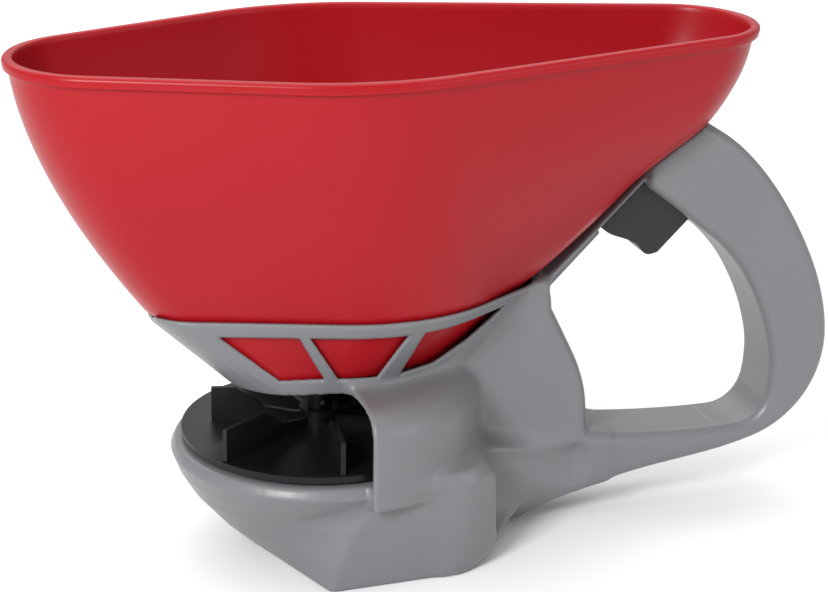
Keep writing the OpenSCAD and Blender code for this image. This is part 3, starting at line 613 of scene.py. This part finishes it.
def cut_windows(shell, x, z, across):
    for i, window in enumerate(WINDOWS):
        # The first one faces half forward
        flat = polygon_distance(x + 0.7 * (across - 32) if i == 0 else x, z, window)
        shell = smooth_max(shell, -np.maximum(flat + 1.5, 5 - across) + 1.5, 1.2)
    return shell


def cut_mechanism(shell, x, y, z, across, radius):
    """Cuts the room for the gate, the spring, the rod, the trigger and the upright shaft."""
    gate = block(x, y, z, *GATE_ROOMS[0])
    for low, high in GATE_ROOMS[1:]:
        gate = np.minimum(gate, block(x, y, z, low, high))
    shell = np.maximum(shell, -gate)
    along, rise = (x + z - ROD_RISE) / math.sqrt(2), (z - x - ROD_RISE) / math.sqrt(2)
    bar = np.hypot(rise, y)
    for r, x0, x1 in ((SPRING_R, 86, 104), (ROD_R, 96, 156)):
        ends = np.maximum(x0 * math.sqrt(2) - along, along - x1 * math.sqrt(2))
        shell = np.maximum(shell, -np.maximum(bar - r - SLIDE_CLEAR, ends))
    slide, off = (x + z) / math.sqrt(2), (x - z) / math.sqrt(2)
    slot = np.maximum(np.maximum(188 - slide, slide - 240.5), np.maximum(-8.3 - off, off - 25.3))
    shell = np.maximum(shell, -np.maximum(slot, across - 9.3))
    low_bore = np.maximum(radius - 3.8, np.maximum(3 - z, z - 14))
    high_bore = np.maximum(radius - 3.5, np.maximum(20 - z, z - 60))
    return np.maximum(shell, -np.minimum(low_bore, high_bore))


def add_crank_side(field, x, y, z, base):
    """Bearing seats and screw holes of the crank's side, and room for the crown wheel."""
    from_crank = np.hypot(x, z - CRANK_Z)
    inner = block(x, y, z, (-16, 17.5, 2), (16, 22.5, DECK_BOTTOM))
    boss = smooth_max(np.maximum(from_crank - 9, 52 - y), y - DOME_R - 0.3, 1.5)
    field = np.minimum(field, np.minimum(np.maximum(inner, base + 1), boss))
    field = np.maximum(field, -np.maximum(from_crank - 6.15, 14 - y))
    for px, pz, _ in SCREWS:
        field = np.maximum(field, -np.maximum(np.hypot(x - px, z - pz) - 3.3, 8 - y))
    crown = np.maximum(from_crank - CROWN_ROOM_R, np.maximum(CROWN_ROOM_Y[0] - y, y - CROWN_ROOM_Y[1]))
    return np.maximum(field, -crown)


def build_housing():
    h = 1.0
    low = (-76.0, -3.0, -3.0)
    axes = x, y, z = grid_axes(low, (250.0, 77.0, 198.0), h)
    across, radius = np.abs(y), np.hypot(x, y)

    # Outside: base, cover, arm and cradle ring, run together
    base = stacked(axes, base_outline, 0.0, 51.0) * BASE_SLOPE
    base = smooth_max(base, np.maximum(-z, z - DECK_TOP), 1.5)
    cover = smooth_max(np.maximum(dome_field(radius, z, 0), 40 - z), DOME_X - x, 1.5)
    arm = smooth_min(loop_field(x, z, across), flank_field(x, y, z), 9)
    arm = smooth_max(arm, -scoop_field(x, z, across), 2)
    body = np.maximum(smooth_min(smooth_min(base, cover, 3.5), arm, 9), -z)
    around = stacked(axes, ring_outline, RING_LOW_Z, RING_TOP_Z)
    ring = smooth_max(around * RING_SLOPE, np.maximum(RING_LOW_Z - z, z - RING_TOP_Z), 1.5)
    outside = smooth_min(body, ring, 6)
    # Spine that carries the rod under the strip
    spine = extruded(polygon_distance(x, z, SPINE_SIDE), across, SPINE_HALF_W, 1.0)
    outside = smooth_min(outside, spine, 2)

    # Hollow inside, with a deck under the disc, room for the spinner and an open ring
    near_deck = np.maximum(radius - DOME_R - 1, DECK_BOTTOM - z)
    shell = np.maximum(outside, -np.maximum(body + WALL, -near_deck))
    shell = np.maximum(shell, -np.maximum(dome_field(radius, z, WALL), DECK_TOP - z))
    shell = np.maximum(shell, -block(x, y, z, (-130, -100, DECK_TOP + 2), (DOME_X - WALL, 100, RING_LOW_Z)))
    disc_room = np.maximum(radius - (BASE_R - WALL - 0.5), np.maximum(DECK_TOP - z, z - DECK_TOP - 4))
    shell = np.maximum(shell, -disc_room)
    shell = np.maximum(shell, -(around + RING_WALL) * RING_SLOPE)
    shell = np.minimum(shell, inner_fittings(x, y, z, across, radius, around, outside))

    # Cuts: hopper, windows and mechanism
    bowl_low = FLOOR_Z - HOPPER_CLEAR
    bowl = stacked(axes, bowl_outline, bowl_low, 198.0)
    shell = np.maximum(shell, -np.maximum(bowl, bowl_low - z) * BOWL_SLOPE)
    shell = cut_mechanism(cut_windows(shell, x, z, across), x, y, z, across, radius)

    right = mesh_from_field("Housing_right", add_crank_side(shell, x, y, z, base), low, h, parting=PARTING)
    left = mesh_from_field("Housing_left", shell, low, h, parting=PARTING)
    left.data.transform(Matrix.Diagonal((1, -1, 1, 1)))
    left.data.flip_normals()
    for obj, node_name in ((right, "housing_right"), (left, "housing_left")):
        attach(obj, "body")
        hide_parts(node_name)
        dress(obj, "gray_plastic")


# ---- Trigger -----------------------------------------------------------------
# The finger side, as distances along the slide and away from it
TRIGGER_FACE = [(189.6, -8), (190.2, -1), (194.0, 8), (195.4, 13), (195.0, 19), (196.4, 21.5), (199.5, 23.6)]


def build_trigger():
    h = 0.6
    low = (128.0, -11.0, 116.0)
    x, y, z = grid_axes(low, (186.0, 11.0, 172.0), h)
    slide, off = (x + z) / math.sqrt(2), (x - z) / math.sqrt(2)
    outline = catmull(TRIGGER_FACE, 6) + [(231, 23.6), (231, -8)]
    solid = extruded(polygon_distance(slide, off, outline), y, 9.0, 0.9)
    groove = np.maximum(np.maximum(180 - slide, slide - 214.5), np.maximum(off + 2.2, np.abs(y) - 4.8))
    solid = np.maximum(solid, -groove)
    rod_hole = np.hypot((z - x - ROD_RISE) / math.sqrt(2), y) - 1.55
    solid = np.maximum(solid, -np.maximum(rod_hole, 214 - slide))
    obj = mesh_from_field("Trigger", solid, low, h)
    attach(obj, "trigger")
    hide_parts("trigger")
    dress(obj, "trigger_plastic")


# ---- Turned, bent and softened pieces ----------------------------------------
HARD_EDGE = math.radians(32)


def softened(name, body, slot_name, width):
    """A copy of a CAD piece with its hard edges rounded."""
    mesh = frame["nodes"][name].data.copy()
    title = "".join(w.capitalize() + "_" for w in name.split("_")).rstrip("_")
    mesh.name = title
    bm = bmesh.new()
    bm.from_mesh(mesh)
    bmesh.ops.remove_doubles(bm, verts=bm.verts, dist=2e-6)
    bmesh.ops.dissolve_limit(bm, angle_limit=math.radians(0.5), verts=bm.verts, edges=bm.edges)
    bmesh.ops.recalc_face_normals(bm, faces=bm.faces)
    for e in bm.edges:
        e.smooth = len(e.link_faces) != 2 or e.calc_face_angle(0) < HARD_EDGE
    bm.to_mesh(mesh)
    bm.free()
    mesh.polygons.foreach_set("use_smooth", [True] * len(mesh.polygons))
    obj = bpy.data.objects.new(title, mesh)
    scene.collection.objects.link(obj)
    mod = obj.modifiers.new("edges", "BEVEL")
    mod.width, mod.segments, mod.limit_method, mod.angle_limit = width * MM, 2, "ANGLE", HARD_EDGE
    mod.harden_normals, mod.use_clamp_overlap = True, True
    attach(obj, body)
    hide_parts(name)
    dress(obj, slot_name)


def build_spring():
    """An open coil with closed ends, squashed by the trigger's collar."""
    a, b = Vector((87.45, 0, 87.45 + ROD_RISE)), Vector((104.0, 0, 104.0 + ROD_RISE))
    along = (b - a).normalized()
    u = Vector((0, 1, 0))
    v = along.cross(u)
    length, turns, wire = (b - a).length, 7.5, 0.45
    coil_r = SPRING_R - wire - 0.1
    path = []
    steps = 300
    for i in range(steps + 1):
        t = i / steps
        s = t + 0.035 * math.sin(4 * math.pi * t) if 0 < t < 1 else t
        angle = 2 * math.pi * turns * t
        out = (u * math.cos(angle) + v * math.sin(angle)) * coil_r
        path.append(a + along * (wire + (length - 2 * wire) * s) + out)
    bm = bmesh.new()
    rings = []
    for i, p in enumerate(path):
        t = (path[min(i + 1, steps)] - path[max(i - 1, 0)]).normalized()
        n = t.cross(along).normalized()
        m = t.cross(n)
        spokes = [n * math.cos(k * math.pi / 4) + m * math.sin(k * math.pi / 4) for k in range(8)]
        rings.append([bm.verts.new((p + spoke * wire) * MM) for spoke in spokes])
    for r0, r1 in zip(rings, rings[1:]):
        for k in range(8):
            bm.faces.new((r0[k], r0[(k + 1) % 8], r1[(k + 1) % 8], r1[k]))
    bm.faces.new(rings[0][::-1])
    bm.faces.new(rings[-1])
    bmesh.ops.recalc_face_normals(bm, faces=bm.faces)
    mesh = bpy.data.meshes.new("Trigger_spring")
    bm.to_mesh(mesh)
    bm.free()
    mesh.polygons.foreach_set("use_smooth", [True] * len(mesh.polygons))
    obj = bpy.data.objects.new("Trigger_spring", mesh)
    scene.collection.objects.link(obj)
    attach(obj, "body")
    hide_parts("trigger_spring")
    dress(obj, "steel")
    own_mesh(obj)


add_camera()
add_studio()
build_hopper()
build_housing()
build_trigger()
build_spring()

for piece in frame["record"]["subparts"]:
    dress(frame["nodes"][piece["node"]], piece["material_slot"])
for piece_name, body_name, slot_name, edge in (
    ("impeller", "spinner", "black_plastic", 0.35),
    ("agitator", "spinner", "black_plastic", 0.4),
    ("crank_arm", "crank", "black_plastic", 0.7),
    ("crank_knob", "knob", "black_plastic", 0.5),
    ("gate_guide", "body", "black_plastic", 0.3),
):
    softened(piece_name, body_name, slot_name, edge)
